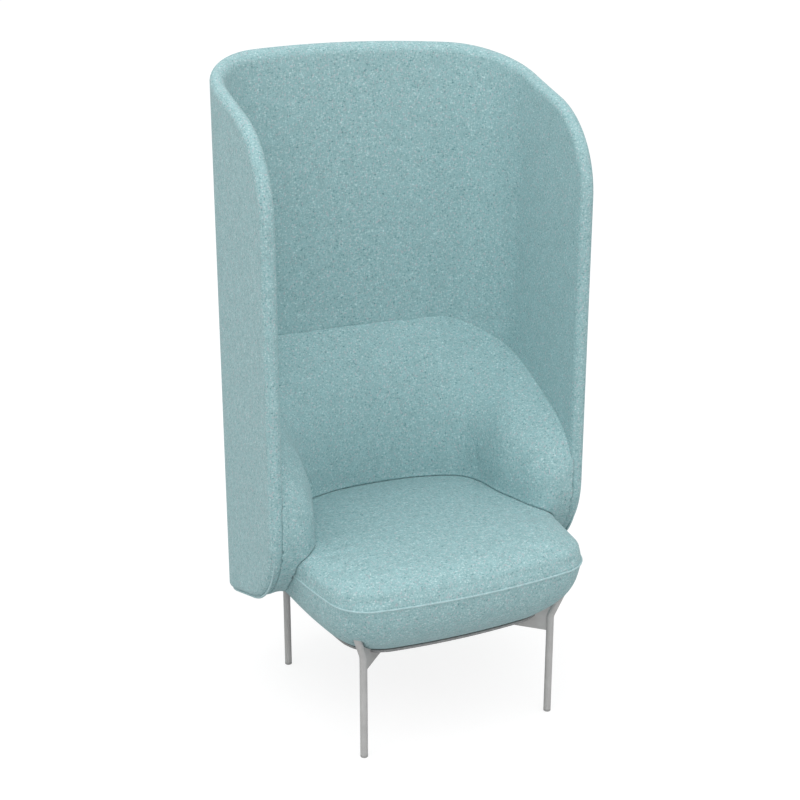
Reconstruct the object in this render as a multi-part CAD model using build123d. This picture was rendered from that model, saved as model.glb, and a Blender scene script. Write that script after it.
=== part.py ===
from build123d import *
import os
from math import cos, pi, radians, sin, sqrt, tan

# High back lounge chair with sound absorbing wings.
# Millimetres. +Z is up, the sitter faces -Y, +X is to the right seen from the front.
# The origin lies on the floor, under the middle of the chair's outline.

# ---------------------------------------------------------------- driving dimensions
overall_depth = 643.0           # front of the seat piping to the back of the shell

# shell: one bent wall round the back and both sides
shell_half_width = 368.0        # middle of the chair to the outer face of a wing
shell_corner_radius = 165.0     # outer radius of the two rear corners in plan
shell_back_radius = 1540.0      # the back bulges gently to the rear
shell_front_y = -114.6          # front edge of the wings
back_top_height = 1409.0        # top line where it meets the back face
top_slope = 22.1                # degrees by which the top line rises at the back
wing_slope = 18.3               # the same where it leaves the wing's front corner
wing_top_radius = 208.0         # upper front corner of a wing
back_bottom_height = 193.5      # bottom line where it meets the back face
bottom_slope = 16.7             # degrees by which the bottom line falls to the rear
wing_bottom_radius = 200.0      # lower front corner of a wing
core_thickness = 10.0           # moulded plywood
shell_foam_thickness = 8.5      # on each side of the plywood
cover_thickness = 2.0           # fabric with its backing
rim_outer_radius = 13.5         # rounding of the rim, outer edge
rim_inner_radius = 15.0         # rounding of the rim, inner edge
core_setback = 14.0             # plywood edge behind the rim
welt_inward = 7.5               # outer face of the shell to the welt under its lower edge
welt_width = 5.0
welt_drop = 5.0                 # the welt follows the rim line moved down by this
welt_back = 3.0                 # and back by this, so that it fades out up the front
pad_inward = 16.0               # outer face of the shell to the pad's edge on the rim

# pad: one soft lining round the sitter, thick at the seat and thin at its top edge
pad_back_height = 776.5         # top edge behind the sitter
pad_front_height = 572.0        # top edge at the front of the arms, before their ends round off
pad_rise_end = 59.0             # degrees: the top edge stops rising
pad_back_depth = 85.5           # shell's inner face to the pad's face, behind the sitter
pad_side_depth = 81.5           # the same at the arms
pad_turn_start = 25.5           # degrees: the arm begins to turn into the back
pad_turn_end = 54.5             # degrees: the back begins
pad_seat_level = 424.0          # height at which the two depths are measured
pad_roll = 16.0                 # thickness of the rounded top edge
pad_roll_drop = 13.0            # height of that rounding
pad_roll_ease = 0.55            # how far the rounding runs straight at its two ends
pad_crown = 0.09                # swelling of the face, as a share of the pad's depth
pad_hem = 25.0                  # thickness of the lower hem
pad_bottom_height = 215.0       # lowest point of the hem, before the shell's edge cuts it
pad_edge_inset = 1.0            # hem and arm ends behind the shell's rim
pad_end_radius = 60.0           # rounding of the arms' front ends
pad_carrier_thickness = 6.0
pad_stations = [0, 0.7, 2, 4.2, 7.5, 12, 18, 26, 34, 43, 52, 61, 70, 80, 90]  # degrees, side to back

# seat: a pebble with piping round its widest line
seat_side_gap = 27.5            # piping to the shell's inner face, at the sides
seat_rear_gap = 58.5            # the same behind the seat
seat_front_radius = 1350.0      # front and rear edges bulge a little
seat_side_radius = 1400.0
seat_corner_radius = 88.5
seat_widest_y = 10.0
piping_height = 362.0
crown_height = 429.0
seat_bottom_height = 231.0
crown_power = 4.2               # how square the dome of the upper cover is
flank_front_inset = 85.5        # how far front and rear draw in towards the bottom
flank_front_power = 2.45        # how late they draw in
flank_side_inset = 72.0         # the same for the two sides
flank_side_power = 2.9
flank_corner_extra = 20.0       # corners are this much rounder halfway down
piping_diameter = 5.0
piping_proud = 2.0

# seat base
underside_thickness = 6.0
underside_overlap = 4.0         # beyond the flat bottom of the cover
board_thickness = 15.0
board_inset = 95.0              # board edge inside the seat's widest outline
board_corner_radius = 60.0

# legs and cross
leg_spacing = 440.0             # between leg axes, both ways
leg_centre_y = -14.5
leg_diameter = 16.0
leg_wall = 1.5
leg_lean = 23.0                 # degrees, bent tip
leg_lean_turn = 30.0            # degrees by which it leans to the front or rear of sideways
leg_bend_height = 232.0
leg_bend_radius = 34.0
leg_tip_height = 284.0
plug_cap = 2.0
plug_stem = 12.0
glide_height = 6.0
glide_stem = 20.0
glide_rounding = 1.5
plate_thickness = 5.0
plate_bottom_height = 196.0
ear_height = 254.0              # top of the plate ends, which fill the room under the flank
ear_length = 50.0

# seat mounting
tab_reach = 150.0               # middle of the cross to a tab
tab_length = 76.0
tab_width = 26.0
tab_thickness = 4.0
bolt_diameter = 6.0
bolt_hole = 6.6
bolt_spacing = 50.0             # two bolts on a tab
bolt_head = 11.0
bolt_head_height = 4.0
nut_barrel = 9.0
nut_flange = 18.0
nut_flange_thickness = 1.5
nut_depth = 11.0

# shell brackets: stepped steel straps from the board to the shell
bracket_width = 50.0
bracket_thickness = 5.0
bracket_bend = 8.0
bracket_foot = 90.0             # length lying on the board
bracket_riser = 224.0           # riser to the middle of the chair, side brackets
bracket_rear_riser = 128.0      # the same for the rear bracket
bracket_step_height = 297.0
bracket_upright = 62.0
bracket_side_y = 40.0
bracket_gap = 0.3               # upright to the shell's inner cover
bracket_bolt_rise = (22.0, 46.0)  # shell bolts above the step
screw_diameter = 5.0
screw_length = 13.0
screw_head = 10.0
screw_head_height = 3.0
screw_spacing = 30.0
spacer_diameter = 14.0

# pad clips
clip_pin = 10.0
clip_head = 24.0
clip_head_thickness = 3.0
clip_grip = 6.0                 # depth into the plywood
clip_side_places = ((-20.0, 530.0), (80.0, 530.0))
clip_back_heights = (480.0, 650.0)

fit_gap = 0.2                   # moving fits and slots
soft_gap = 1.0                  # between soft pieces
pocket_gap = 1.5                # round steel buried in foam
margin = 60.0                   # tool bodies run past the chair by this much

# ---------------------------------------------------------------- derived sizes
shell_back_y = overall_depth / 2
seat_front_y = piping_proud - overall_depth / 2
wall = core_thickness + 2 * (shell_foam_thickness + cover_thickness)
core_inward = cover_thickness + shell_foam_thickness
inner_foam_inward = core_inward + core_thickness
seam_inward = welt_inward + welt_width / 2
fan_y = shell_front_y + pad_edge_inset
pad_back_reach = shell_back_y - wall - fan_y - pad_back_depth
pad_side_reach = shell_half_width - wall - pad_side_depth
seat_half_width = shell_half_width - wall - seat_side_gap
seat_rear_y = shell_back_y - wall - seat_rear_gap
seat_front_half = seat_widest_y - seat_front_y
leg_half = leg_spacing / 2
cross_reach = leg_half * sqrt(2)
underside_bottom = seat_bottom_height - underside_thickness
board_bottom = seat_bottom_height + cover_thickness
board_top = board_bottom + board_thickness
flank_depth = piping_height - seat_bottom_height
dome_height = crown_height - piping_height
legs = {
    "front_left": (-1, -1),
    "front_right": (1, -1),
    "rear_left": (-1, 1),
    "rear_right": (1, 1),
}


# ---------------------------------------------------------------- helpers
def polar(centre, radius, degrees):
    """Point on a circle in a drawing plane."""
    angle = radians(degrees)
    return (centre[0] + radius * cos(angle), centre[1] + radius * sin(angle))


def meet(first, first_radius, second, second_radius, side):
    """One of the two points where circles round `first` and `second` cross."""
    gap = Vector(second[0] - first[0], second[1] - first[1])
    along = (first_radius**2 - second_radius**2 + gap.length**2) / (2 * gap.length)
    across = sqrt(first_radius**2 - along**2) * side
    unit = gap.normalized()
    return (first[0] + unit.X * along - unit.Y * across,
            first[1] + unit.Y * along + unit.X * across)


def towards(start, through, radius):
    """Point at `radius` from `start`, on the ray through another point."""
    ray = Vector(through[0] - start[0], through[1] - start[1]).normalized()
    return (start[0] + ray.X * radius, start[1] + ray.Y * radius)


def mirrored(point):
    return (-point[0], point[1])


def rod(diameter, length, place):
    """Cylinder that starts at `place` and runs along its z axis."""
    return place * Cylinder(diameter / 2, length, align=(Align.CENTER, Align.CENTER, Align.MIN))


def rounded_rod(diameter, length, rounding, place):
    """The same, with its far edge rounded."""
    body = rod(diameter, length, Pos(0, 0, 0))
    return place * fillet(body.edges().filter_by(GeomType.CIRCLE).sort_by(Axis.Z)[-1], rounding)


def joined(solids):
    return Compound(children=[part.solid() for part in solids])


# ---------------------------------------------------------------- shell forms
def shell_centres():
    """Centres of the back arc and of the right rear corner arc in plan."""
    back = (0, shell_back_y - shell_back_radius)
    corner_x = shell_half_width - shell_corner_radius
    reach = shell_back_radius - shell_corner_radius
    return back, (corner_x, back[1] + sqrt(reach**2 - corner_x**2))


def shell_plan(inward):
    """Everything inside the U line that lies `inward` from the outer face."""
    back, corner = shell_centres()
    half = shell_half_width - inward
    turn = towards(back, corner, shell_back_radius - inward)
    start = (half, corner[1])
    middle = Vector(1, 0) + Vector(turn[0] - corner[0], turn[1] - corner[1]).normalized()
    middle = middle.normalized() * (shell_corner_radius - inward)
    bend = (corner[0] + middle.X, corner[1] + middle.Y)
    front = shell_front_y - margin
    return make_face([
        Polyline(mirrored(start), (-half, front), (half, front), start),
        ThreePointArc(start, bend, turn),
        ThreePointArc(turn, (0, shell_back_y - inward), mirrored(turn)),
        ThreePointArc(mirrored(turn), mirrored(bend), mirrored(start)),
    ])


def shell_block(inward):
    return extrude(shell_plan(inward), back_top_height + margin)


def side_profile(inset):
    """Side view of the shell as a block across the chair, `inset` inside the rim."""
    far = shell_back_y + margin
    front = shell_front_y + inset
    steep = radians(top_slope)
    gentle = radians(wing_slope)
    top_y = shell_front_y + wing_top_radius
    run = shell_back_y - top_y + wing_top_radius * sin(gentle)
    top_z = back_top_height - tan((steep + gentle) / 2) * run - wing_top_radius * cos(gentle)
    low_y = shell_front_y + wing_bottom_radius
    low_z = (back_bottom_height + tan(radians(bottom_slope)) * (shell_back_y - low_y)
             + wing_bottom_radius / cos(radians(bottom_slope)))
    top_end = polar((top_y, top_z), wing_top_radius - inset, 90 + wing_slope)
    top_mid = polar((top_y, top_z), wing_top_radius - inset, 135 + wing_slope / 2)
    back_top = (shell_back_y + inset * sin(steep), back_top_height - inset * cos(steep))
    low_end = polar((low_y, low_z), wing_bottom_radius - inset, 270 - bottom_slope)
    low_mid = polar((low_y, low_z), wing_bottom_radius - inset, 225 - bottom_slope / 2)
    top_far = (far, back_top[1] + tan(steep) * (far - back_top[0]))
    low_far = (far, low_end[1] - tan(radians(bottom_slope)) * (far - low_end[0]))
    face = make_face([
        Line((front, low_z), (front, top_z)),
        ThreePointArc((front, top_z), top_mid, top_end),
        TangentArc(top_end, back_top, tangent=(cos(gentle), sin(gentle))),
        Polyline(back_top, top_far, low_far, low_end),
        ThreePointArc(low_end, low_mid, (front, low_z)),
    ])
    return extrude(Plane.YZ * face, shell_half_width + margin, both=True)


def rim_edges(body, inset, outer):
    """The loop of edges where the rim meets the outer or the inner face."""
    middle = shell_block(wall / 2)
    found = []
    for edge in body.edges():
        centre = edge.position_at(0.5)
        way = edge.tangent_at(0.5)
        upright_seam = abs(way.Z) > 0.999 and centre.Y > shell_front_y + inset + 1
        cross_seam = abs(way.X) > 0.999 and edge.geom_type == GeomType.LINE
        if not upright_seam and not cross_seam and middle.is_inside(centre) != outer:
            found.append(edge)
    return found


def shell_form(inset):
    """The whole wall with its rounded rim, `inset` under the surface."""
    body = (shell_block(inset) - shell_block(wall - inset)) & side_profile(inset)
    body = body.solid()
    body = fillet(rim_edges(body, inset, True), rim_outer_radius - inset / 2).solid()
    return fillet(rim_edges(body, inset, False), rim_inner_radius - inset / 2).solid()


# ---------------------------------------------------------------- seat forms
def seat_outline(inward, side_inward, corner):
    """Outline of the seat round its own middle, eight tangent arcs, drawn in from its widest line."""
    front_radius = seat_front_radius - inward
    side_radius = seat_side_radius - side_inward
    half = seat_half_width - side_inward
    front_half = seat_front_half - inward
    rear_half = seat_rear_y - seat_widest_y - inward
    front = (0, front_radius - front_half)
    rear = (0, rear_half - front_radius)
    side = (half - side_radius, 0)
    low = meet(front, front_radius - corner, side, side_radius - corner, 1)
    high = meet(rear, front_radius - corner, side, side_radius - corner, -1)
    front_end = towards(front, low, front_radius)
    side_low = towards(side, low, side_radius)
    side_high = towards(side, high, side_radius)
    rear_end = towards(rear, high, front_radius)
    low_chord = ((front_end[0] + side_low[0]) / 2, (front_end[1] + side_low[1]) / 2)
    high_chord = ((rear_end[0] + side_high[0]) / 2, (rear_end[1] + side_high[1]) / 2)
    low_bend = towards(low, low_chord, corner)
    high_bend = towards(high, high_chord, corner)
    return make_face([
        ThreePointArc(mirrored(front_end), (0, -front_half), front_end),
        ThreePointArc(front_end, low_bend, side_low),
        ThreePointArc(side_low, (half, 0), side_high),
        ThreePointArc(side_high, high_bend, rear_end),
        ThreePointArc(rear_end, (0, rear_half), mirrored(rear_end)),
        ThreePointArc(mirrored(rear_end), mirrored(high_bend), mirrored(side_high)),
        ThreePointArc(mirrored(side_high), (-half, 0), mirrored(side_low)),
        ThreePointArc(mirrored(side_low), mirrored(low_bend), mirrored(front_end)),
    ])


def widest_outline(inward):
    """The seat's widest outline, drawn in evenly."""
    return seat_outline(inward, inward, seat_corner_radius - inward)


def flank_outline(step, inset):
    """Outline of the lower half, `step` of the way down, `inset` under its surface."""
    front = flank_front_inset * step**flank_front_power + inset
    side = flank_side_inset * step**flank_side_power + inset
    corner = seat_corner_radius + flank_corner_extra * 4 * step * (1 - step) - inset
    return seat_outline(front, side, corner)


def seat_slab(outline, bottom, top):
    return Pos(0, seat_widest_y, bottom) * extrude(outline, top - bottom)


def seat_upper_form(inset):
    """Domed upper half of the seat, above the piping."""
    slices = []
    for share in (1.0, 0.99, 0.965, 0.92, 0.86, 0.78, 0.68, 0.57, 0.45, 0.33, 0.21, 0.1):
        rise = (dome_height - inset) * (1 - share**crown_power) ** (1 / crown_power)
        place = Pos(0, seat_widest_y, piping_height + rise)
        slices.append(place * scale(widest_outline(inset), by=share))
    return loft(slices)


def seat_lower_form(inset):
    """Lower half of the seat, drawn in towards its flat bottom."""
    slices = []
    for step in (0, 0.2, 0.4, 0.58, 0.74, 0.88, 1.0):
        place = Pos(0, seat_widest_y, piping_height - (flank_depth - inset) * step)
        slices.append(place * flank_outline(step, inset))
    return loft(slices)


def piping_ring(gap):
    """Round cord along the widest line of the seat."""
    radius = piping_diameter / 2
    inward = piping_diameter - piping_proud + gap
    low = piping_height - radius - gap
    high = piping_height + radius + gap
    ring = (seat_slab(widest_outline(-piping_proud - gap), low, high)
            - seat_slab(widest_outline(inward), low, high))
    if gap:
        return ring
    middle = seat_slab(widest_outline(radius - piping_proud), low - 1, high + 1)
    outside = [edge for edge in ring.edges() if abs(edge.tangent_at(0.5).Z) < 0.1
               and not middle.is_inside(edge.position_at(0.5))]
    return fillet(outside, radius * 0.85)


def underside_form(gap):
    """The stiff panel under the seat, which reaches a little beyond the flat bottom."""
    line = flank_outline(1, -underside_overlap - gap)
    return seat_slab(line, underside_bottom, seat_bottom_height)


def seat_space(gap):
    """The room that the finished seat takes up, with a gap round it."""
    return seat_upper_form(-gap) + seat_lower_form(-gap) + piping_ring(gap)


# ---------------------------------------------------------------- pad forms
def wall_reach(degrees):
    """Fan centre to the shell's inner face, along a direction between side and back."""
    back, corner = shell_centres()
    way = Vector(cos(radians(degrees)), sin(radians(degrees)))

    def circle_reach(centre, radius):
        ray = Vector(centre[0], centre[1] - fan_y)
        along = ray.dot(way)
        return along + sqrt(along**2 - ray.length**2 + radius**2)

    straight_back = circle_reach(back, shell_back_radius - wall)
    if straight_back * way.X <= towards(back, corner, shell_back_radius - wall)[0]:
        return straight_back
    sideways = (shell_half_width - wall) / way.X
    if fan_y + sideways * way.Y <= corner[1]:
        return sideways
    return circle_reach(corner, shell_corner_radius - wall)


def pad_reach(degrees):
    """Fan centre to the pad's face at seat level."""
    turned = (degrees - pad_turn_start) / (pad_turn_end - pad_turn_start)
    turned = min(max(turned, 0), 1)
    return pad_side_reach + (pad_back_reach - pad_side_reach) * turned**2 * (3 - 2 * turned)


def pad_crest(degrees):
    risen = min(degrees / pad_rise_end, 1)
    return pad_front_height + (pad_back_height - pad_front_height) * risen


def pad_section(degrees, inset):
    """Upright section through the pad, on a plane through the fan's axis."""
    quarter = min(degrees, 180 - degrees)
    reach = pad_reach(quarter) + inset
    back = wall_reach(quarter)
    crest = pad_crest(quarter) - inset
    roll = pad_roll * (back - reach) / (back - reach + inset)
    edge = (back, crest)
    end = (back - roll, crest - pad_roll_drop)
    level = (reach, pad_seat_level)
    depth = end[0] - reach
    rise = end[1] - pad_seat_level
    bend = (reach - pad_crown * depth, end[1] - rise / 3)
    slope = Vector(end[0] - bend[0], end[1] - bend[1]).normalized() * pad_roll_drop * pad_roll_ease
    far = back + margin
    hem = (back - pad_hem + inset, pad_bottom_height + inset)
    plane = Plane(origin=(0, fan_y, 0), x_dir=(cos(radians(degrees)), sin(radians(degrees)), 0),
                  z_dir=(sin(radians(degrees)), -cos(radians(degrees)), 0))
    return plane * make_face([
        Bezier(edge, (back - roll * pad_roll_ease, crest), (end[0] + slope.X, end[1] + slope.Y), end),
        Bezier(end, bend, (reach, pad_seat_level + rise / 3), level),
        Line(level, hem),
        Polyline(hem, (far, hem[1]), (far, edge[1]), edge),
    ])


def pad_end_draw(degrees):
    """How far the rounded front end of an arm draws in."""
    round_end = pad_end_radius / pad_side_reach * 180 / pi
    before = max(0, 1 - degrees / round_end)
    return pad_end_radius * (1 - sqrt(1 - before**2))


def pad_form(inset):
    """The soft lining, before the shell and the seat cut it."""
    least = inset / (shell_half_width - wall) * 180 / pi
    side = [(angle + least * (1 - angle / 90), inset + pad_end_draw(angle)) for angle in pad_stations]
    other = [(180 - angle, drawn) for angle, drawn in reversed(side[:-1])]
    return loft([pad_section(angle, drawn) for angle, drawn in side + other])


# ---------------------------------------------------------------- shell pieces
def shell_pieces(whole, spacers, inserts, bolts, pins):
    """Plywood, foam, cover and welt of the shell."""
    filling = shell_form(cover_thickness)
    seam = shell_block(seam_inward)
    core = (shell_block(core_inward) - shell_block(inner_foam_inward)) & side_profile(core_setback)
    inner_foam = filling & shell_block(inner_foam_inward)
    outer_foam = filling - shell_block(inner_foam_inward) - core
    cover = whole - filling
    welt = shell_block(welt_inward) - shell_block(welt_inward + welt_width)
    welt = (welt & Pos(0, welt_back, -welt_drop) * side_profile(0)) - whole
    return {
        "shell_core": core - inserts - bolts - spacers - pins,
        "shell_foam_inner": inner_foam - spacers - pins,
        "shell_foam_outer": outer_foam - inserts,
        "shell_cover_inner": (cover & seam) - spacers - pins,
        "shell_cover_outer": cover - seam,
        "shell_edge_welt": welt,
    }


# ---------------------------------------------------------------- pad pieces
def pad_pieces(shell, rooms, pins, heads):
    """Cover, foam and carrier board of the pad."""
    around = shell_block(pad_inward) & side_profile(pad_edge_inset)
    outside = (pad_form(0) & around) - shell - seat_space(soft_gap) - rooms
    cavity = shell_block(wall) & side_profile(pad_edge_inset + cover_thickness)
    filling = (pad_form(cover_thickness) & cavity) - seat_space(soft_gap + cover_thickness)
    filling = filling - rooms
    board_line = shell_block(wall + pad_carrier_thickness)
    return {
        "pad_cover": outside - filling,
        "pad_foam": (filling & board_line) - heads,
        "pad_carrier": filling - board_line - pins - heads,
    }


# ---------------------------------------------------------------- seat pieces
def seat_pieces(rooms, hardware):
    """Covers, piping, foam, board and underside of the seat."""
    upper_filling = seat_upper_form(cover_thickness)
    lower_filling = seat_lower_form(cover_thickness)
    cord = piping_ring(0)
    cord_room = piping_ring(0.01)
    board_line = seat_outline(board_inset, board_inset, board_corner_radius)
    board = seat_slab(board_line, board_bottom, board_top)
    opening = flank_outline(1, 2 * underside_overlap)
    opening = seat_slab(opening, seat_bottom_height - 1, board_bottom)
    panel = underside_form(0)
    rim = [edge for edge in panel.edges() if edge.center().Z < underside_bottom + 0.1]
    panel = fillet(rim, underside_thickness / 3)
    foam = (upper_filling + lower_filling) - board - cord_room - rooms - hardware
    return {
        "seat_cover_upper": seat_upper_form(0) - upper_filling - cord_room,
        "seat_cover_lower": seat_lower_form(0) - lower_filling - opening - cord_room - rooms,
        "seat_piping": cord,
        "seat_foam": foam,
        "seat_base_board": board - hardware,
        "seat_underside_panel": panel - hardware,
    }


# ---------------------------------------------------------------- frame
def leg_path(sides):
    """Leg axis: straight up, then leaning outwards under the seat's flank."""
    across, along = sides
    x = across * leg_half
    y = leg_centre_y + along * leg_half
    lean = (leg_tip_height - leg_bend_height) * tan(radians(leg_lean))
    tip = (x + across * lean * cos(radians(leg_lean_turn)),
           y + along * lean * sin(radians(leg_lean_turn)), leg_tip_height)
    return FilletPolyline((x, y, glide_height), (x, y, leg_bend_height), tip, radius=leg_bend_radius)


def leg_rod(sides, diameter):
    path = leg_path(sides)
    return sweep(Plane(path @ 0, z_dir=path % 0) * Circle(diameter / 2), path)


def tip_place(sides):
    path = leg_path(sides)
    return Plane(path @ 1, z_dir=path % 1).location


def leg(sides):
    return leg_rod(sides, leg_diameter) - leg_rod(sides, leg_diameter - 2 * leg_wall)


def leg_tip_plug(sides):
    place = tip_place(sides)
    cap = rounded_rod(leg_diameter, plug_cap, plug_cap / 3, place)
    return cap + rod(leg_diameter - 2 * leg_wall, plug_stem, place * Pos(0, 0, -plug_stem))


def floor_glide(sides):
    x = sides[0] * leg_half
    y = leg_centre_y + sides[1] * leg_half
    foot = rounded_rod(leg_diameter, glide_height, glide_rounding, Pos(x, y, glide_height) * Rot(180, 0, 0))
    return foot + rod(leg_diameter - 2 * leg_wall, glide_stem, Pos(x, y, glide_height))


def cross_plate(turn, notch_from_top, neighbours):
    """One of two half lapped plates on edge, from leg to opposite leg, with raised ends."""
    reach = cross_reach + leg_diameter / 4
    height = underside_bottom - plate_bottom_height
    plate = Pos(0, 0, plate_bottom_height + height / 2) * Box(2 * reach, plate_thickness, height)
    lap = Box(plate_thickness + fit_gap, 2 * plate_thickness, height,
              align=(Align.CENTER, Align.CENTER, Align.MIN if notch_from_top else Align.MAX))
    plate = plate - Pos(0, 0, plate_bottom_height + height / 2) * lap
    rise = ear_height - plate_bottom_height
    for way in (-1, 1):
        ear = Box(ear_length, plate_thickness, rise)
        plate = plate + Pos(way * (reach - ear_length / 2), 0, plate_bottom_height + rise / 2) * ear
        seat = Box(tab_width + fit_gap, 2 * plate_thickness, 2 * tab_thickness)
        plate = plate - Pos(way * tab_reach, 0, underside_bottom) * seat
    return (Pos(0, leg_centre_y, 0) * Rot(0, 0, turn) * plate) - neighbours


def tab_places():
    """Centres of the four mounting tabs, x axis along the plate."""
    return {name: Pos(0, leg_centre_y, 0) * Rot(0, 0, 45 if sides[0] == sides[1] else -45)
            * Pos(sides[0] * tab_reach, 0, underside_bottom - tab_thickness)
            for name, sides in legs.items()}


def tab_bolt_places(tab):
    return [tab * Pos(0, way * bolt_spacing / 2, 0) for way in (-1, 1)]


def mounting_tab(tab):
    plate = Box(tab_width, tab_length, tab_thickness, align=(Align.CENTER, Align.CENTER, Align.MIN))
    plate = fillet(plate.edges().filter_by(Axis.Z), tab_thickness)
    body = tab * plate
    for place in tab_bolt_places(tab):
        body = body - rod(bolt_hole, tab_thickness, place)
    return body


def seat_bolts():
    """Hexagon bolts from below, through tab and underside into the board."""
    length = board_top - underside_bottom + tab_thickness
    parts = []
    for tab in tab_places().values():
        for place in tab_bolt_places(tab):
            head = place * extrude(RegularPolygon(bolt_head / 2, 6), -bolt_head_height)
            parts.append(head + rod(bolt_diameter, length, place))
    return parts


def board_nut_places():
    """Top of the board above each seat bolt."""
    lift = Pos(0, 0, board_top - underside_bottom + tab_thickness)
    return [place * lift for tab in tab_places().values() for place in tab_bolt_places(tab)]


def nut_body(place, barrel):
    """Nut with its flange on the xy plane of `place` and its barrel pointing down."""
    return rod(nut_flange, nut_flange_thickness, place) + rod(nut_barrel, barrel, place * Pos(0, 0, -barrel))


def tee_nut(place, barrel):
    bore = rod(bolt_diameter, barrel + 2 * nut_flange_thickness, place * Pos(0, 0, -barrel))
    return nut_body(place, barrel) - bore


# ---------------------------------------------------------------- brackets
def bracket_places():
    """Each bracket in its own frame: x runs outwards, z up, with its riser and reach."""
    side_wall = shell_half_width - wall - bracket_gap
    rear_wall = shell_back_y - wall - bracket_gap
    return {
        "bracket_left": (Pos(0, bracket_side_y, 0) * Rot(0, 0, 180), bracket_riser, side_wall),
        "bracket_right": (Pos(0, bracket_side_y, 0), bracket_riser, side_wall),
        "bracket_rear": (Rot(0, 0, 90), bracket_rear_riser, rear_wall),
    }


def bracket_strap(place, riser, reach, gap):
    """Stepped strap; a gap makes it larger all round."""
    low = board_top + bracket_thickness / 2
    end = reach - bracket_thickness / 2
    path = FilletPolyline(
        (riser - bracket_foot - gap, 0, low), (riser, 0, low), (riser, 0, bracket_step_height),
        (end, 0, bracket_step_height), (end, 0, bracket_step_height + bracket_upright + gap),
        radius=bracket_bend)
    section = Plane(path @ 0, x_dir=(0, 1, 0), z_dir=path % 0)
    strap = sweep(section * Rectangle(bracket_width + 2 * gap, bracket_thickness + 2 * gap), path)
    return place * strap


def shell_bolt_places():
    """Where bolts enter the upright of each bracket, z axis pointing outwards."""
    found = []
    for place, riser, reach in bracket_places().values():
        for rise in bracket_bolt_rise:
            found.append(place * Pos(reach, 0, bracket_step_height + rise) * Rot(0, 90, 0))
    return found


def screw_places():
    """Wood screws through each bracket's foot, z axis pointing down."""
    found = []
    for place, riser, reach in bracket_places().values():
        middle = riser - bracket_foot / 2 - bracket_bend
        for way in (-1, 1):
            spot = Pos(middle + way * screw_spacing / 2, 0, board_top + bracket_thickness)
            found.append(place * spot * Rot(180, 0, 0))
    return found


def bracket(place, riser, reach):
    body = bracket_strap(place, riser, reach, 0)
    for spot in shell_bolt_places():
        body = body - rod(bolt_hole, 2 * bracket_thickness, spot * Pos(0, 0, -1.5 * bracket_thickness))
    for spot in screw_places():
        body = body - rod(screw_diameter, 2 * bracket_thickness, spot * Pos(0, 0, -1))
    return body


def shell_bolts():
    """Bolts from the bracket through the spacers into the inserts."""
    length = bracket_thickness + bracket_gap + inner_depth() + core_thickness
    parts = []
    for spot in shell_bolt_places():
        start = spot * Pos(0, 0, -bracket_thickness)
        head = rod(bolt_head, bolt_head_height, start * Pos(0, 0, -bolt_head_height))
        parts.append(head + rod(bolt_diameter, length, start))
    return parts


def inner_depth():
    """Cover and foam between the shell's inner face and its plywood."""
    return cover_thickness + shell_foam_thickness


def shell_spacers():
    parts = []
    for spot in shell_bolt_places():
        sleeve = rod(spacer_diameter, inner_depth() + bracket_gap, spot)
        parts.append(sleeve - rod(bolt_hole, inner_depth() + bracket_gap, spot))
    return parts


def insert_places():
    """Outer face of the plywood at each shell bolt."""
    lift = Pos(0, 0, bracket_gap + inner_depth() + core_thickness)
    return [spot * lift for spot in shell_bolt_places()]


def bracket_screws():
    parts = []
    for spot in screw_places():
        head = rod(screw_head, screw_head_height, spot * Pos(0, 0, -screw_head_height))
        parts.append(head + rod(screw_diameter, bracket_thickness + screw_length, spot))
    return parts


# ---------------------------------------------------------------- pad clips
def clip_places():
    """Clip seats on the pad carrier's outer face, z axis pointing outwards."""
    wall_x = shell_half_width - wall
    found = []
    for y, height in clip_side_places:
        found.append(Pos(wall_x, y, height) * Rot(0, 90, 0))
        found.append(Pos(-wall_x, y, height) * Rot(0, -90, 0))
    for height in clip_back_heights:
        found.append(Pos(0, shell_back_y - wall, height) * Rot(-90, 0, 0))
    return found


def clip_pin_rod(place):
    length = pad_carrier_thickness + inner_depth() + clip_grip
    return rod(clip_pin, length, place * Pos(0, 0, -pad_carrier_thickness))


def clip_head_disc(place):
    return rod(clip_head, clip_head_thickness,
               place * Pos(0, 0, -pad_carrier_thickness - clip_head_thickness))


def pad_clips():
    return [clip_pin_rod(place) + clip_head_disc(place) for place in clip_places()]


# ---------------------------------------------------------------- assembly
def bracket_pockets():
    """Room for the brackets and their bolt heads inside soft pieces."""
    rooms = [bracket_strap(*place, pocket_gap) for place in bracket_places().values()]
    reach = bracket_thickness + bolt_head_height + pocket_gap
    heads = [rod(bolt_head + 2 * pocket_gap, reach, spot * Pos(0, 0, -reach))
             for spot in shell_bolt_places()]
    return rooms + heads


def leg_pockets():
    """Dents that the leaning leg tips press into the seat's flank."""
    rooms = []
    for sides in legs.values():
        rooms.append(leg_rod(sides, leg_diameter + 2 * soft_gap))
        rooms.append(rod(leg_diameter + 2 * soft_gap, plug_cap + soft_gap, tip_place(sides)))
    return rooms


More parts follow.
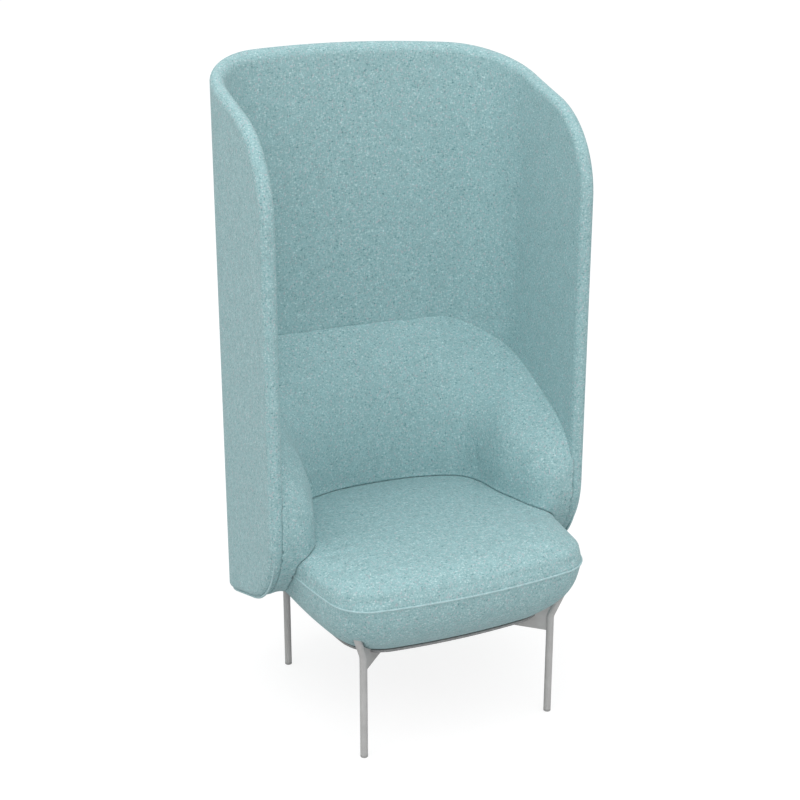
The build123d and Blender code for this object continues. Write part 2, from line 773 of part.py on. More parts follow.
def build():
    pins = [clip_pin_rod(place) for place in clip_places()]
    heads = [clip_head_disc(place) for place in clip_places()]
    spacers = [rod(spacer_diameter, inner_depth() + bracket_gap, spot) for spot in shell_bolt_places()]
    inserts = [nut_body(place, core_thickness) for place in insert_places()]
    board_nuts = [nut_body(place, nut_depth) for place in board_nut_places()]
    rooms = bracket_pockets() + leg_pockets()
    above_plates = [seat_space(fit_gap), underside_form(fit_gap)]
    above_plates += [leg_rod(sides, leg_diameter) for sides in legs.values()]
    whole = shell_form(0)
    nodes = shell_pieces(whole, spacers, inserts, shell_bolts(), pins)
    nodes.update(pad_pieces(whole, rooms, pins, heads))
    nodes.update(seat_pieces(rooms, board_nuts + seat_bolts() + bracket_screws()))
    for name, sides in legs.items():
        nodes["leg_" + name] = leg(sides)
        nodes["leg_tip_plug_" + name] = leg_tip_plug(sides)
        nodes["floor_glide_" + name] = floor_glide(sides)
    for name, tab in tab_places().items():
        nodes["mounting_tab_" + name] = mounting_tab(tab)
    nodes["cross_plate_lower"] = cross_plate(45, True, above_plates)
    nodes["cross_plate_upper"] = cross_plate(-45, False, above_plates)
    for name, place in bracket_places().items():
        nodes[name] = bracket(*place)
    nodes["seat_bolts"] = joined(seat_bolts())
    nodes["board_tee_nuts"] = joined([tee_nut(place, nut_depth) for place in board_nut_places()])
    nodes["shell_bolts"] = joined(shell_bolts())
    nodes["shell_spacers"] = joined(shell_spacers())
    nodes["shell_inserts"] = joined([tee_nut(place, core_thickness) for place in insert_places()])
    nodes["bracket_screws"] = joined(bracket_screws())
    nodes["pad_clips"] = joined(pad_clips())
    return nodes


if __name__ == "__main__":
    os.makedirs("parts", exist_ok=True)
    for name, shape in build().items():
        export_step(shape, "parts/" + name + ".step")
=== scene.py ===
import math

import bmesh
import bpy
import numpy as np
from mathutils import Matrix, Vector
from mathutils.bvhtree import BVHTree


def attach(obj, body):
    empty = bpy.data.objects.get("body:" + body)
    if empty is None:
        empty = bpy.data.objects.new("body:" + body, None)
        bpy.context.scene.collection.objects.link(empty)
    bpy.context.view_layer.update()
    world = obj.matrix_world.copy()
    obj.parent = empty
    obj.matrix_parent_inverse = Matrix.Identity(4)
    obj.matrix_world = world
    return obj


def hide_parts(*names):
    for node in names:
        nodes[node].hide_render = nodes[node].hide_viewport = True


# High back lounge chair: the upholstered wall, the seat cushion and the pad that lines the wall are
# soft skins over the CAD forms. Legs, plates, boards and fasteners are the CAD nodes themselves.
# Metres, apart from the sizes below that say millimetres. +Z is up, the sitter faces -Y.
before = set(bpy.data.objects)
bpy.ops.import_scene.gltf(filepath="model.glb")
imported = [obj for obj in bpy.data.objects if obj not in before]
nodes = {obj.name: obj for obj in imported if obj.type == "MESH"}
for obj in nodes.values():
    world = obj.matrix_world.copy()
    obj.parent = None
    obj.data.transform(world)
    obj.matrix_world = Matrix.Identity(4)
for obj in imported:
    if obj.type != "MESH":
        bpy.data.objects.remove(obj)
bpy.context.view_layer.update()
scene = bpy.context.scene
MM = 0.001

# ------------------------------------------------------------------ the CAD forms, in millimetres
HALF_WIDTH = 368.0                  # middle of the chair to the outer face of a wing
PLAN_CORNER = 165.0                 # outer radius of the two rear corners in plan
BACK_RADIUS = 1540.0                # the back bulges gently to the rear
BACK_Y = 321.5                      # rearmost point of the back
FRONT_Y = -114.6                    # front edge of the wings
WALL = 31.0                         # outer to inner face
TOP_HEIGHT = 1409.0                 # top line where it meets the back face
TOP_SLOPE = math.radians(22.1)      # slope of the top line there
WING_SLOPE = math.radians(18.3)     # the same where it leaves the wing's front corner
TOP_RADIUS = 208.0                  # upper front corner of a wing
LOW_HEIGHT = 193.5                  # bottom line where it meets the back face
LOW_SLOPE = math.radians(16.7)
LOW_RADIUS = 200.0                  # lower front corner of a wing
RIM_OUTER = 13.5                    # rounding of the rim, outer edge
RIM_INNER = 15.0                    # rounding of the rim, inner edge

SEAT_HALF = 309.5                   # the seat's widest line: half its width
SEAT_FRONT = 329.5                  # its middle to its front
SEAT_REAR = 222.0                   # its middle to its rear
SEAT_MIDDLE_Y = 10.0
SEAT_FRONT_RADIUS = 1350.0          # front and rear edges bulge a little
SEAT_SIDE_RADIUS = 1400.0
SEAT_CORNER = 88.5
PIPING_HEIGHT = 362.0

# ------------------------------------------------------------------ seams and cords, in millimetres
EDGE_LINE = 4.6                     # outer face to the sewn line along the rim
EDGE_ROOM = 1.1                     # rim rows nearer to that line than this give way to its groove
EDGE_GROOVE = [(-1.0, 0.0), (-0.4, 0.5), (0.0, 1.0), (0.4, 0.5), (1.0, 0.0)]    # across, share of depth
EDGE_SINK = (0.8, 0.5)              # full depth of the groove, inset and inward
WELT_INWARD = 10.0                  # outer face to the welt under the lower edge
WELT_RADIUS = 2.5
WELT_HIDDEN, WELT_PROUD = 1.6, 2.3  # the welt's axis above the rim line at its ends, below it elsewhere
WELT_SLIM = 0.35                    # share of its radius that is left at its ends
PIPING_RADIUS = 2.2
PIPING_INWARD = 0.6                 # the seat's widest line to the cord's axis

# ------------------------------------------------------------------ steps along the wall
ARC_STEPS = 26                      # front corner of a wing
WING_STEPS = 7                      # straight part of the wing
CORNER_STEPS = 16                   # rear corner
BACK_STEPS = 13                     # half of the back
HALF_STATIONS = ARC_STEPS + WING_STEPS + CORNER_STEPS + BACK_STEPS
STATIONS = 2 * HALF_STATIONS + 1
ROWS = 64                           # rows from the lower to the upper rim
RIM_STEPS = 9                       # steps round each of the rim's two edges
WELT_FIRST = 4                      # station where the welt begins
WELT_FADE = 12                      # stations over which it comes out

# ------------------------------------------------------------------ soft skins, in metres
COVER = 0.002                       # cloth with its backing
SKIN = 0.0003                       # the skin lies this far outside the CAD cover
SETTLE_REACH = 0.007                # farthest that a held vertex is moved back
SEAT_VOXEL, PAD_VOXEL = 0.006, 0.0055
SEAT_SWELL, PAD_SWELL = 0.004, 0.005    # most that the cloth moves
SHRINK = 0.0015                     # drawn in by this before it swells
PRESSURE = 4.0
CLOTH_FRAMES = 20
SEAM_HELD, SEAM_FREE = 0.004, 0.010     # held beside the piping, and freed over this
BOTTOM_HELD = 0.238                 # held below this height


# ------------------------------------------------------------------ materials
def srgb(red, green, blue):
    """A colour of 0 to 255 as a linear shader colour."""
    out = []
    for value in (red, green, blue):
        share = value / 255
        out.append(share / 12.92 if share <= 0.04045 else ((share + 0.055) / 1.055) ** 2.4)
    return (*out, 1.0)


def evenly(value):
    """The same value in every channel."""
    return (value, value, value, 1)


def shaded(colour, share):
    """A colour made darker or lighter."""
    return tuple(share * value for value in colour[:3]) + (1,)


class Material:
    """Short hand for a node material round one principled shader."""

    def __init__(self, name):
        self.material = bpy.data.materials.new(name)
        self.material.use_nodes = True
        self.tree = self.material.node_tree
        self.shader = self.tree.nodes["Principled BSDF"]
        self.place = self.add("ShaderNodeTexCoord").outputs["Object"]

    def add(self, kind, **values):
        node = self.tree.nodes.new(kind)
        for key, value in values.items():
            setattr(node, key, value)
        return node

    def link(self, out, into):
        self.tree.links.new(out, into)

    def stretched(self, scale, turn=(0, 0, 0)):
        mapping = self.add("ShaderNodeMapping")
        mapping.inputs["Scale"].default_value = scale
        mapping.inputs["Rotation"].default_value = turn
        self.link(self.place, mapping.inputs["Vector"])
        return mapping.outputs["Vector"]

    def noise(self, scale, detail=2.0, rough=0.5, place=None):
        node = self.add("ShaderNodeTexNoise")
        node.inputs["Scale"].default_value = scale
        node.inputs["Detail"].default_value = detail
        node.inputs["Roughness"].default_value = rough
        self.link(place or self.place, node.inputs["Vector"])
        return node.outputs["Fac"]

    def ramp(self, value, stops):
        node = self.add("ShaderNodeValToRGB")
        elements = node.color_ramp.elements
        while len(elements) < len(stops):
            elements.new(0.5)
        for element, (at, colour) in zip(elements, stops):
            element.position = at
            element.color = colour
        self.link(value, node.inputs["Fac"])
        return node.outputs["Color"]

    def mix(self, share, first, second, blend="MIX"):
        node = self.add("ShaderNodeMix", data_type="RGBA", blend_type=blend)
        for key, value in ((0, share), (6, first), (7, second)):
            if isinstance(value, bpy.types.NodeSocket):
                self.link(value, node.inputs[key])
            else:
                node.inputs[key].default_value = value
        return node.outputs[2]

    def math(self, kind, first, second):
        node = self.add("ShaderNodeMath", operation=kind)
        for key, value in ((0, first), (1, second)):
            if isinstance(value, bpy.types.NodeSocket):
                self.link(value, node.inputs[key])
            else:
                node.inputs[key].default_value = value
        return node.outputs["Value"]

    def bump(self, height, distance, strength, before=None):
        node = self.add("ShaderNodeBump")
        node.inputs["Distance"].default_value = distance
        node.inputs["Strength"].default_value = strength
        self.link(height, node.inputs["Height"])
        if before:
            self.link(before, node.inputs["Normal"])
        return node.outputs["Normal"]

    def finish(self, colour, normal=None, roughness=None, **constants):
        self.link(colour, self.shader.inputs["Base Color"])
        if normal:
            self.link(normal, self.shader.inputs["Normal"])
        if roughness:
            self.link(roughness, self.shader.inputs["Roughness"])
        for name, value in constants.items():
            self.shader.inputs[name.replace("_", " ")].default_value = value
        return self.material


def heather_fabric(name, dark, middle, light, grey):
    """Felted wool of mixed yarns: short flecks in several directions, a fine tight weave and a soft nap."""
    m = Material(name)
    flecks = m.noise(270, 2.0, 0.6)
    threads = m.noise(1.0, 2.0, 0.55, m.stretched((430, 430, 150)))
    fibres = m.noise(1.0, 1.5, 0.5, m.stretched((160, 160, 480)))
    mixed = m.math("MULTIPLY", m.math("ADD", m.math("ADD", flecks, threads), fibres), 1 / 3)
    colour = m.ramp(mixed, [(0.36, dark), (0.455, middle), (0.53, middle), (0.64, light)])
    patches = m.ramp(m.noise(240, 1.0, 0.4, m.stretched((1.0, 1.0, 0.8), (0.6, 0.4, 0.2))),
                     [(0.58, evenly(0)), (0.72, evenly(0.5))])
    colour = m.mix(patches, colour, grey)
    clouds = m.ramp(m.noise(55, 2.0, 0.6), [(0.3, evenly(0.94)), (0.7, evenly(1.05))])
    colour = m.mix(1.0, colour, clouds, "MULTIPLY")
    surface = m.bump(mixed, 0.0011, 0.55)
    surface = m.bump(m.noise(1500, 2.0, 0.6), 0.0004, 0.45, surface)
    surface = m.bump(m.noise(14, 1.0, 0.4), 0.0016, 0.35, surface)
    rough = m.ramp(flecks, [(0.3, evenly(0.86)), (0.7, evenly(0.98))])
    return m.finish(colour, surface, rough, Sheen_Weight=0.12, Sheen_Roughness=0.45,
                    Specular_IOR_Level=0.2)


def coated_steel(name, colour, roughness, metal, grain=0.00004):
    """Powder coated or plated steel with fine grain."""
    m = Material(name)
    shade = m.noise(38, 3.0, 0.6)
    tone = m.ramp(shade, [(0.3, shaded(colour, 0.93)), (0.7, shaded(colour, 1.05))])
    surface = m.bump(m.noise(2600, 2.0, 0.5), grain, 0.5)
    surface = m.bump(m.noise(420, 1.0, 0.5), 2 * grain, 0.3, surface)
    rough = m.ramp(shade, [(0.3, evenly(roughness - 0.04)), (0.7, evenly(roughness + 0.05))])
    return m.finish(tone, surface, rough, Metallic=metal)


def moulded_plastic(name, colour, roughness):
    """Moulded plastic with a fine spark eroded surface."""
    m = Material(name)
    shade = m.noise(60, 2.0, 0.5)
    tone = m.ramp(shade, [(0.35, shaded(colour, 0.9)), (0.65, colour)])
    surface = m.bump(m.noise(1800, 2.0, 0.6), 0.00006, 0.5)
    rough = m.ramp(shade, [(0.3, evenly(roughness - 0.05)), (0.7, evenly(roughness + 0.05))])
    return m.finish(tone, surface, rough)


def lining_board(name):
    """Grey pressed felt on the underside."""
    m = Material(name)
    fibres = m.noise(1.0, 3.0, 0.6, m.stretched((140, 700, 300), (0, 0, 0.5)))
    tone = m.ramp(fibres, [(0.3, srgb(120, 121, 121)), (0.55, srgb(146, 147, 147)),
                           (0.75, srgb(163, 164, 164))])
    surface = m.bump(fibres, 0.0005, 0.6)
    rough = m.ramp(m.noise(300), [(0.3, evenly(0.82)), (0.7, evenly(0.95))])
    return m.finish(tone, surface, rough)


def birch_plywood(name):
    """Plain plywood with its grain along the board."""
    m = Material(name)
    grain = m.noise(1.0, 4.0, 0.6, m.stretched((9, 160, 60)))
    tone = m.ramp(grain, [(0.3, srgb(176, 140, 98)), (0.55, srgb(205, 172, 128)),
                          (0.75, srgb(219, 190, 150))])
    surface = m.bump(grain, 0.0003, 0.4)
    rough = m.ramp(grain, [(0.3, evenly(0.5)), (0.7, evenly(0.68))])
    return m.finish(tone, surface, rough)


fabric = heather_fabric("cover_fabric", srgb(97, 140, 145), srgb(148, 183, 186),
                        srgb(192, 217, 218), srgb(188, 184, 192))
# The piping cloth is the cover cloth made lighter: its extra lightness is painted highlight, standing for
# the light that the thin cords catch along their tops.
piping_fabric = heather_fabric("piping_fabric", srgb(140, 176, 180), srgb(166, 196, 199),
                               srgb(186, 212, 214), srgb(180, 190, 194))
frame_steel = coated_steel("frame_steel", srgb(180, 180, 179), 0.42, 0.0)
bracket_steel = coated_steel("bracket_steel", srgb(120, 121, 122), 0.5, 0.6)
fastener_steel = coated_steel("fastener_steel", srgb(176, 177, 180), 0.32, 0.9, 0.00002)
tip_plastic = moulded_plastic("tip_plug", srgb(180, 180, 179), 0.5)
glide_plastic = moulded_plastic("glide_plastic", srgb(165, 165, 164), 0.55)
clip_plastic = moulded_plastic("clip_plastic", srgb(52, 53, 54), 0.5)
plywood = birch_plywood("plywood")
underside = lining_board("underside_panel")

# CAD nodes that are seen as they are, by the start of their names, the first that fits
CARRIED = {
    "leg_tip_plug_": tip_plastic, "leg_": frame_steel, "cross_plate_": frame_steel,
    "mounting_tab_": frame_steel, "floor_glide_": glide_plastic, "bracket_screws": fastener_steel,
    "bracket_": bracket_steel, "board_tee_nuts": fastener_steel, "seat_bolts": fastener_steel,
    "shell_bolts": fastener_steel, "shell_spacers": fastener_steel, "shell_inserts": fastener_steel,
    "pad_clips": clip_plastic, "pad_carrier": plywood, "shell_core": plywood,
    "seat_base_board": plywood, "seat_underside_panel": underside,
}
for node_name, node in nodes.items():
    for start, material in CARRIED.items():
        if node_name.startswith(start):
            for place in node.material_slots:
                place.material = material
            break


# ------------------------------------------------------------------ mesh helpers
def new_piece(name, points, faces, material):
    """A smooth mesh object from points in millimetres."""
    mesh = bpy.data.meshes.new(name)
    mesh.from_pydata([tuple(MM * value for value in point) for point in points], [], faces)
    mesh.validate()
    thing = bpy.data.objects.new(name, mesh)
    scene.collection.objects.link(thing)
    mesh.materials.append(material)
    mesh.shade_smooth()
    return thing


def tube(name, path, radii, material, closed, sides=12):
    """Round tube along points in millimetres, with its own radius at each point."""
    path = np.asarray(path, float)
    count = len(path)
    if closed:
        ways = np.roll(path, -1, 0) - np.roll(path, 1, 0)
    else:
        ways = np.gradient(path, axis=0)
    ways /= np.linalg.norm(ways, axis=1)[:, None]
    up = np.array((0.0, 0.0, 1.0))
    points, faces = [], []
    for centre, way, radius in zip(path, ways, radii):
        side = np.cross(way, up)
        side /= np.linalg.norm(side)
        lift = np.cross(side, way)
        for step in range(sides):
            angle = 2 * math.pi * step / sides
            points.append(centre + radius * (math.cos(angle) * side + math.sin(angle) * lift))
    rings = count if closed else count - 1
    for ring in range(rings):
        after = (ring + 1) % count
        for step in range(sides):
            near = (step + 1) % sides
            faces.append((ring * sides + step, ring * sides + near,
                          after * sides + near, after * sides + step))
    if not closed:
        faces.append(tuple(range(sides))[::-1])
        faces.append(tuple(range((count - 1) * sides, count * sides)))
    return new_piece(name, points, faces, material)


# ------------------------------------------------------------------ shell
corner_x = HALF_WIDTH - PLAN_CORNER
back_centre_y = BACK_Y - BACK_RADIUS
corner_y = back_centre_y + math.sqrt((BACK_RADIUS - PLAN_CORNER) ** 2 - corner_x**2)
corner_turn = math.atan2(corner_y - back_centre_y, corner_x)

# front corners of a wing, seen from the side, and the slightly hollow arc of the top line
mean_slope = (TOP_SLOPE + WING_SLOPE) / 2
top_y = FRONT_Y + TOP_RADIUS
top_run = BACK_Y - top_y + TOP_RADIUS * math.sin(WING_SLOPE)
top_z = TOP_HEIGHT - math.tan(mean_slope) * top_run - TOP_RADIUS * math.cos(WING_SLOPE)
low_y = FRONT_Y + LOW_RADIUS
low_z = LOW_HEIGHT + math.tan(LOW_SLOPE) * (BACK_Y - low_y) + LOW_RADIUS / math.cos(LOW_SLOPE)
top_chord = top_run / math.cos(mean_slope)
top_bend = top_chord / (2 * math.sin((TOP_SLOPE - WING_SLOPE) / 2))
bend_y = top_y - (TOP_RADIUS + top_bend) * math.sin(WING_SLOPE)
bend_z = top_z + (TOP_RADIUS + top_bend) * math.cos(WING_SLOPE)


def top_height(y, inset):
    """Height of the top line, or of a line inset below it."""
    return bend_z - math.sqrt((top_bend + inset) ** 2 - (y - bend_y) ** 2)


def low_height(y, inset):
    """Height of the bottom line, or of a line inset above it."""
    return LOW_HEIGHT + math.tan(LOW_SLOPE) * (BACK_Y - y) + inset / math.cos(LOW_SLOPE)


def rim_point(station, upper, inset, inward):
    """Point on the upper or lower rim of half the wall, from the right wing's front to the middle."""
    if upper:
        centre, radius, last = (top_y, top_z), TOP_RADIUS, math.pi / 2 + WING_SLOPE
    else:
        centre, radius, last = (low_y, low_z), LOW_RADIUS, 1.5 * math.pi - LOW_SLOPE
    height = top_height if upper else low_height
    if station <= ARC_STEPS:
        angle = math.pi + (last - math.pi) * station / ARC_STEPS
        return (HALF_WIDTH - inward, centre[0] + (radius - inset) * math.cos(angle),
                centre[1] + (radius - inset) * math.sin(angle))
    station -= ARC_STEPS
    if station <= WING_STEPS:
        start = centre[0] + (radius - inset) * math.cos(last)
        y = start + (corner_y - start) * station / WING_STEPS
        return (HALF_WIDTH - inward, y, height(y, inset))
    station -= WING_STEPS
    if station <= CORNER_STEPS:
        angle = corner_turn * station / CORNER_STEPS
        y = corner_y + (PLAN_CORNER - inward) * math.sin(angle)
        return (corner_x + (PLAN_CORNER - inward) * math.cos(angle), y, height(y, inset))
    station -= CORNER_STEPS
    angle = corner_turn + (math.pi / 2 - corner_turn) * station / BACK_STEPS
    y = back_centre_y + (BACK_RADIUS - inward) * math.sin(angle)
    return ((BACK_RADIUS - inward) * math.cos(angle), y, height(y, inset))


def run_point(station, upper, inset, inward):
    """The same for the whole wall, right wing to left wing."""
    if station <= HALF_STATIONS:
        return rim_point(station, upper, inset, inward)
    x, y, z = rim_point(2 * HALF_STATIONS - station, upper, inset, inward)
    return (-x, y, z)


def wall_point(station, row, inset, inward):
    """Point of the wall between its two rims."""
    low = np.array(run_point(station, False, inset, inward))
    high = np.array(run_point(station, True, inset, inward))
    return low + (high - low) * row / (ROWS - 1)


def rim_section():
    """Inset and inward depth across the rounded rim, outer to inner face, with the seam's groove."""
    section = []
    for step in range(1, RIM_STEPS):
        angle = math.pi / 2 * step / RIM_STEPS
        inward = RIM_OUTER * (1 - math.cos(angle))
        section.append((RIM_OUTER * (1 - math.sin(angle)), inward))
    section = [pair for pair in section if abs(pair[1] - EDGE_LINE) > EDGE_ROOM]
    for across, depth in EDGE_GROOVE:
        inward = EDGE_LINE + across
        rise = RIM_OUTER - math.sqrt(RIM_OUTER**2 - (RIM_OUTER - inward) ** 2)
        section.append((rise + EDGE_SINK[0] * depth, inward + EDGE_SINK[1] * depth))
    section.sort(key=lambda pair: pair[1])
    section.append((0.0, (RIM_OUTER + WALL - RIM_INNER) / 2))
    for step in range(RIM_STEPS - 1, 0, -1):
        angle = math.pi / 2 * step / RIM_STEPS
        section.append((RIM_INNER * (1 - math.sin(angle)), WALL - RIM_INNER * (1 - math.cos(angle))))
    return section


def shell_wall():
    """The upholstered wall as one closed skin."""
    points, faces = [], []
    outer = np.zeros((STATIONS, ROWS), int)
    inner = np.zeros((STATIONS, ROWS), int)
    for grid, inset, inward in ((outer, RIM_OUTER, 0.0), (inner, RIM_INNER, WALL)):
        for station in range(STATIONS):
            for row in range(ROWS):
                grid[station, row] = len(points)
                points.append(wall_point(station, row, inset, inward))
    for station in range(STATIONS - 1):
        for row in range(ROWS - 1):
            quad = [(station, row), (station + 1, row), (station + 1, row + 1), (station, row + 1)]
            faces.append(tuple(int(outer[at]) for at in quad))
            faces.append(tuple(int(inner[at]) for at in reversed(quad)))
    border = [(station, 0) for station in range(STATIONS)]
    border += [(STATIONS - 1, row) for row in range(1, ROWS)]
    border += [(station, ROWS - 1) for station in range(STATIONS - 2, -1, -1)]
    border += [(0, row) for row in range(ROWS - 2, 0, -1)]
    strips = [[int(outer[at]) for at in border]]
    for inset, inward in rim_section():
        ring = []
        for station, row in border:
            ring.append(len(points))
            points.append(wall_point(station, row, inset, inward))
        strips.append(ring)
    strips.append([int(inner[at]) for at in border])
    count = len(border)
    for first, second in zip(strips, strips[1:]):
        for step in range(count):
            after = (step + 1) % count
            faces.append((first[after], first[step], second[step], second[after]))
    return new_piece("shell_upholstery", points, faces, fabric)


shell = shell_wall()
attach(shell, "root")
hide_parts("shell_cover_outer", "shell_cover_inner", "shell_foam_outer", "shell_foam_inner")


def edge_welt():
    """Piped seam under the lower edge, fading out where the edge turns up the front."""
    path, radii = [], []
    for station in range(WELT_FIRST, STATIONS - WELT_FIRST):
        from_end = min(station, STATIONS - 1 - station)
        share = min(1.0, (from_end - WELT_FIRST) / WELT_FADE)
        fade = share * share * (3 - 2 * share)
        path.append(run_point(station, False, WELT_HIDDEN - (WELT_HIDDEN + WELT_PROUD) * fade, WELT_INWARD))
        radii.append(WELT_RADIUS * (WELT_SLIM + (1 - WELT_SLIM) * fade))
    # The welt wears the lighter piping cloth, whose lightness is painted highlight.
    return tube("shell_lower_welt", path, radii, piping_fabric, False)


welt = edge_welt()
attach(welt, "root")
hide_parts("shell_edge_welt")


# ------------------------------------------------------------------ soft skins over the CAD forms
def apply_all(thing):
    """Replaces the object's mesh by what its modifiers make of it."""
    ready = thing.evaluated_get(bpy.context.evaluated_depsgraph_get())
    mesh = bpy.data.meshes.new_from_object(ready)
    thing.modifiers.clear()
    old = thing.data
    thing.data = mesh
    bpy.data.meshes.remove(old)


def subdivided(thing):
    """Divides the skin once, rounding it."""
    thing.modifiers.new("rounding", "SUBSURF").levels = 1
    apply_all(thing)
    thing.data.shade_smooth()


def vectors(thing, kind):
    """One row for each vertex: its place (co) or its normal."""
    out = np.empty(len(thing.data.vertices) * 3)
    thing.data.vertices.foreach_get(kind, out)
    return out.reshape(-1, 3)


def positions(thing):
    return vectors(thing, "co")


def normals(thing):
    return vectors(thing, "normal")


def set_positions(thing, points):
    thing.data.vertices.foreach_set("co", np.ascontiguousarray(points).ravel())
    thing.data.update()


def edge_pairs(thing):
    edges = np.empty(len(thing.data.edges) * 2, int)
    thing.data.edges.foreach_get("vertices", edges)
    return edges.reshape(-1, 2)


def node_faces(names):
    """Points and faces of several CAD nodes together."""
    points, faces = [], []
    for name in names:
        mesh = nodes[name].data
        start = len(points)
        points += [tuple(vertex.co) for vertex in mesh.vertices]
        faces += [tuple(start + index for index in face.vertices) for face in mesh.polygons]
    return points, faces


def node_tree(*names):
    """Search tree for the nearest surface of several CAD nodes."""
    return BVHTree.FromPolygons(*node_faces(names))


def keep_largest(thing):
    """Deletes bubbles that the remesh leaves inside."""
    work = bmesh.new()
    work.from_mesh(thing.data)
    work.verts.ensure_lookup_table()
    seen = set()
    groups = []
    for vertex in work.verts:
        if vertex.index in seen:
            continue
        stack, group = [vertex], []
        seen.add(vertex.index)
        while stack:
            here = stack.pop()
            group.append(here)
            for edge in here.link_edges:
                other = edge.other_vert(here)
                if other.index not in seen:
                    seen.add(other.index)
                    stack.append(other)
        groups.append(group)
    groups.sort(key=len, reverse=True)
    spare = [vertex for group in groups[1:] for vertex in group]
    bmesh.ops.delete(work, geom=spare, context="VERTS")
    work.to_mesh(thing.data)
    work.free()


def fused(name, parts, voxel):
    """One closed skin round several CAD solids."""
    points, faces = node_faces(parts)
    mesh = bpy.data.meshes.new(name)
    mesh.from_pydata(points, [], faces)
    thing = bpy.data.objects.new(name, mesh)
    scene.collection.objects.link(thing)
    remesh = thing.modifiers.new("remesh", "REMESH")
    remesh.mode = "VOXEL"
    remesh.voxel_size = voxel
    apply_all(thing)
    keep_largest(thing)
    thing.data.materials.append(fabric)
    thing.data.shade_smooth()
    return thing


def nearness(thing, tree, full, none):
    """1 where the skin lies within `full` of the other surface, falling to 0 at `none`."""
    gaps = np.array([tree.find_nearest(Vector(place))[3] for place in positions(thing)])
    return np.clip((none - gaps) / (none - full), 0, 1)


def smoothed(values, thing, rounds):
    """Evens out one value per vertex over the mesh's edges."""
    edges = edge_pairs(thing)
    count = np.bincount(edges.ravel(), minlength=len(values))
    for _ in range(rounds):
        total = np.bincount(edges[:, 0], values[edges[:, 1]], len(values))
        total += np.bincount(edges[:, 1], values[edges[:, 0]], len(values))
        values = 0.5 * values + 0.5 * total / np.maximum(count, 1)
    return values


def soften(thing, held, rounds):
    """Rounds the skin, least where it is held."""
    edges = edge_pairs(thing)
    points = positions(thing)
    count = np.bincount(edges.ravel(), minlength=len(points))[:, None]
    for _ in range(rounds):
        total = np.zeros_like(points)
        np.add.at(total, edges[:, 0], points[edges[:, 1]])
        np.add.at(total, edges[:, 1], points[edges[:, 0]])
        points += 0.5 * (1 - 0.85 * held)[:, None] * (total / np.maximum(count, 1) - points)
    set_positions(thing, points)


def inflated(thing, held, swell):
    """Lets the cover swell under pressure, where it isn't held and by no more than `swell`."""
    before = positions(thing)
    set_positions(thing, before - normals(thing) * (SHRINK * (1 - held))[:, None])
    start = positions(thing)
    group = thing.vertex_groups.new(name="held")
    for index in np.nonzero(held > 0.02)[0]:
        group.add([int(index)], float(held[index]), "REPLACE")
    cloth = thing.modifiers.new("cloth", "CLOTH")
    cloth.settings.quality = 4
    cloth.settings.mass = 0.4
    cloth.settings.tension_stiffness = 25
    cloth.settings.compression_stiffness = 25
    cloth.settings.shear_stiffness = 10
    cloth.settings.bending_stiffness = 4
    cloth.settings.use_pressure = True
    cloth.settings.uniform_pressure_force = PRESSURE
    cloth.settings.effector_weights.gravity = 0
    cloth.settings.vertex_group_mass = "held"
    cloth.point_cache.frame_start = 1
    cloth.point_cache.frame_end = CLOTH_FRAMES
    for step in range(1, CLOTH_FRAMES + 1):
        scene.frame_set(step)
    apply_all(thing)
    scene.frame_set(1)
    move = positions(thing) - start
    length = np.linalg.norm(move, axis=1)
    share = np.minimum(1.0, swell / np.maximum(length, 1e-9))
    set_positions(thing, start + move * share[:, None])
    thing.vertex_groups.clear()
    thing.data.shade_smooth()


def settled(thing, tree, held):
    """Lays the held vertices back on the outer surface of the CAD cover, where they are near it."""
    points, facing = positions(thing), normals(thing)
    for index in np.nonzero(held > 0.05)[0]:
        spot, normal, _, gap = tree.find_nearest(Vector(points[index]))
        if gap > SETTLE_REACH:
            continue
        spot = np.array(spot) + SKIN * facing[index]
        if float(np.dot(normal, facing[index])) < 0:
            spot = spot + COVER * facing[index]
        points[index] += held[index] * (spot - points[index])
    set_positions(thing, points)


# ------------------------------------------------------------------ seat
SEAT_COVERS = ["seat_cover_upper", "seat_cover_lower"]
STEEL_NEAR_SEAT = ["leg_tip_plug_front_left", "leg_tip_plug_front_right", "leg_tip_plug_rear_left",
                   "leg_tip_plug_rear_right", "bracket_left", "bracket_right", "bracket_rear"]


def seat_line(inward, samples=24):
    """The seat's outline in plan, `inward` of its widest line, with `samples` points on each arc."""
    half = SEAT_HALF - inward
    front_half = SEAT_FRONT - inward
    rear_half = SEAT_REAR - inward
    front_radius = SEAT_FRONT_RADIUS - inward
    side_radius = SEAT_SIDE_RADIUS - inward
    corner = SEAT_CORNER - inward
    front = np.array((0.0, front_radius - front_half))
    rear = np.array((0.0, rear_half - front_radius))
    side = np.array((half - side_radius, 0.0))

    def meet(first, first_reach, second, second_reach, way):
        gap = second - first
        length = np.linalg.norm(gap)
        along = (first_reach**2 - second_reach**2 + length**2) / (2 * length)
        across = way * math.sqrt(first_reach**2 - along**2)
        unit = gap / length
        return first + unit * along + np.array((-unit[1], unit[0])) * across

    def arc(centre, radius, start, end, count):
        angles = np.linspace(start, end, count, endpoint=False)
        return np.stack([centre[0] + radius * np.cos(angles), centre[1] + radius * np.sin(angles)], -1)

    def bearing(centre, point):
        return math.atan2(point[1] - centre[1], point[0] - centre[0])

    low = meet(front, front_radius - corner, side, side_radius - corner, 1)
    high = meet(rear, front_radius - corner, side, side_radius - corner, -1)
    turns = [bearing(front, low), bearing(side, low), bearing(side, high), bearing(rear, high)]
    right = np.concatenate([
        arc(front, front_radius, -math.pi / 2, turns[0], samples),
        arc(low, corner, turns[0], turns[1], samples),
        arc(side, side_radius, turns[1], turns[2], samples),
        arc(high, corner, turns[2], turns[3], samples),
        arc(rear, front_radius, turns[3], math.pi / 2, samples),
        [[0.0, rear_half]],
    ])
    left = right[-2:0:-1] * np.array((-1, 1))
    return np.concatenate([right, left]) + np.array((0, SEAT_MIDDLE_Y))


